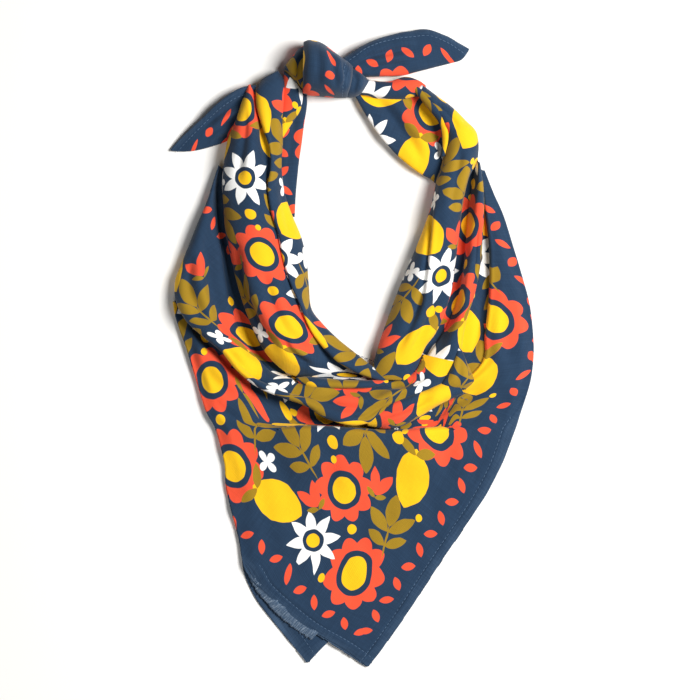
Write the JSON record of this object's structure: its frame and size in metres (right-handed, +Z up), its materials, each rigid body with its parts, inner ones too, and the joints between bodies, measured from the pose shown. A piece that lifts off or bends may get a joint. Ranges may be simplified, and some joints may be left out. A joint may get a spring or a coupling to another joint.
{
  "type": "bandana",
  "caption": "Square cotton bandana folded to a double triangle, tied once and laid flat as a neck scarf, with rolled straps and cowl folds round an open neck.",
  "frame": {"origin": "on the surface that the cloth lies on, under the middle of its outline", "axes": "+Z up from that surface, +Y from the double triangle's points towards the knot, +X to the right as the knot is seen at the top"},
  "size_m": [0.2529, 0.4457, 0.0367],
  "materials": {
    "printed_cotton": "matte plain-weave cotton printed on a navy ground, slightly faded along the hems"
  },
  "bodies": {
    "root": {"cowl_backing_1": "printed_cotton", "cowl_backing_2": "printed_cotton", "cowl_band": "printed_cotton", "cowl_lower_roll": "printed_cotton", "cowl_thin_fold": "printed_cotton", "front_panel": "printed_cotton", "knot_body": "printed_cotton", "knot_left_turn": "printed_cotton", "knot_right_turn": "printed_cotton", "left_back_strip": "printed_cotton", "left_flank": "printed_cotton", "left_inner_roll_1": "printed_cotton", "left_inner_roll_2": "printed_cotton", "left_inner_roll_3": "printed_cotton", "left_knot_fold": "printed_cotton", "left_main_roll_1": "printed_cotton", "left_main_roll_2": "printed_cotton", "left_outer_fold": "printed_cotton", "left_tail": "printed_cotton", "right_back_strap": "printed_cotton", "right_flank": "printed_cotton", "right_flap": "printed_cotton", "right_inner_roll_1": "printed_cotton", "right_inner_roll_2": "printed_cotton", "right_inner_roll_3": "printed_cotton", "right_knot_roll": "printed_cotton", "right_middle_roll": "printed_cotton", "right_tail": "printed_cotton", "right_valley_layer": "printed_cotton", "under_panel": "printed_cotton"}
  },
  "joints": []
}
